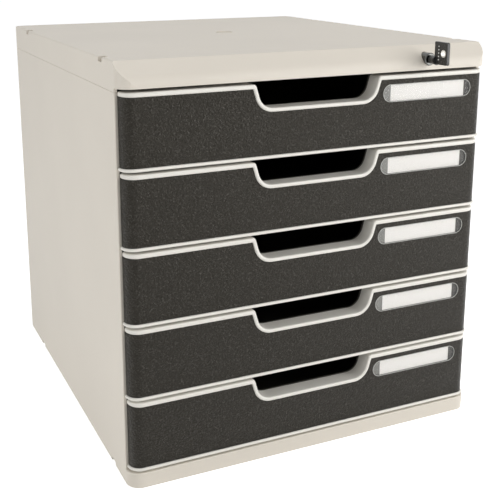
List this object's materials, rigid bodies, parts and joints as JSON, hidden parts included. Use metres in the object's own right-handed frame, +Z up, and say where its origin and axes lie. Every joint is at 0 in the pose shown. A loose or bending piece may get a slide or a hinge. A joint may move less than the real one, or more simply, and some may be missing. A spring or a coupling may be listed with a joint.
{
  "type": "desktop file drawer unit",
  "caption": "Lockable desktop unit of stacked A4 file drawers in a moulded light-grey casing, with black fronts, finger scoops, label windows and a cylinder lock.",
  "frame": {"origin": "on the surface that the unit stands on, at the middle of its box from the key to the rear", "axes": "+X to the right seen from the front, -Y out of the drawer fronts, +Z up"},
  "size_m": [0.292, 0.3466, 0.3061],
  "materials": {
    "casing_plastic": "fine spark-eroded grain, warm light grey",
    "tray_plastic": "satin black",
    "front_plastic": "coarse moulded grain, black",
    "window_plastic": "clear polished plastic",
    "label_card": "blank white card",
    "foot_rubber": "matte black rubber",
    "plated_steel": "zinc plated",
    "lock_chrome": "polished chrome",
    "key_plastic": "polished black plastic"
  },
  "bodies": {
    "casing": {"top_cover": "casing_plastic", "side_panel_right": "casing_plastic", "side_panel_left": "casing_plastic", "back_panel": "casing_plastic", "base_tray": "casing_plastic", "rubber_feet": "foot_rubber", "back_screws": "plated_steel", "lock_barrel": "lock_chrome", "lock_clip": "plated_steel"},
    "lock_core": {"lock_plug": "lock_chrome", "lock_cam": "plated_steel", "cam_screw": "plated_steel"},
    "key": {"key_blade": "plated_steel", "key_bow": "key_plastic"},
    "locking_bar": {"locking_bar": "plated_steel", "locking_teeth": "plated_steel"},
    "drawer_1": {"drawer_tray_1": "tray_plastic", "front_frame_1": "casing_plastic", "lock_catch_1": "tray_plastic", "front_panel_1": "front_plastic", "label_window_1": "window_plastic", "label_card_1": "label_card"},
    "drawer_2": {"drawer_tray_2": "tray_plastic", "front_frame_2": "casing_plastic", "lock_catch_2": "tray_plastic", "front_panel_2": "front_plastic", "label_window_2": "window_plastic", "label_card_2": "label_card"},
    "drawer_3": {"drawer_tray_3": "tray_plastic", "front_frame_3": "casing_plastic", "lock_catch_3": "tray_plastic", "front_panel_3": "front_plastic", "label_window_3": "window_plastic", "label_card_3": "label_card"},
    "drawer_4": {"drawer_tray_4": "tray_plastic", "front_frame_4": "casing_plastic", "lock_catch_4": "tray_plastic", "front_panel_4": "front_plastic", "label_window_4": "window_plastic", "label_card_4": "label_card"},
    "drawer_5": {"drawer_tray_5": "tray_plastic", "front_frame_5": "casing_plastic", "lock_catch_5": "tray_plastic", "front_panel_5": "front_plastic", "label_window_5": "window_plastic", "label_card_5": "label_card"}
  },
  "joints": [
    {"name": "drawer_1_slide", "type": "slide", "parent": "casing", "child": "drawer_1", "axis": [0, -1, 0], "range_m": [0, 0.25]},
    {"name": "drawer_2_slide", "type": "slide", "parent": "casing", "child": "drawer_2", "axis": [0, -1, 0], "range_m": [0, 0.25]},
    {"name": "drawer_3_slide", "type": "slide", "parent": "casing", "child": "drawer_3", "axis": [0, -1, 0], "range_m": [0, 0.25]},
    {"name": "drawer_4_slide", "type": "slide", "parent": "casing", "child": "drawer_4", "axis": [0, -1, 0], "range_m": [0, 0.25]},
    {"name": "drawer_5_slide", "type": "slide", "parent": "casing", "child": "drawer_5", "axis": [0, -1, 0], "range_m": [0, 0.25]},
    {"name": "lock_turn", "type": "hinge", "parent": "casing", "child": "lock_core", "pos_m": [0.0918, -0.1529, 0.2924], "axis": [0, 1, 0], "range_deg": [0, 90]},
    {"name": "key_pull", "type": "slide", "parent": "lock_core", "child": "key", "axis": [0, -1, 0], "range_m": [0, 0.022]},
    {"name": "bar_drop", "type": "slide", "parent": "casing", "child": "locking_bar", "axis": [0, 0, -1], "range_m": [0, 0.004]}
  ],
  "couplings": [
    {"joint": "lock_turn", "follows": "bar_drop", "rad_per_m": 392.69}
  ]
}
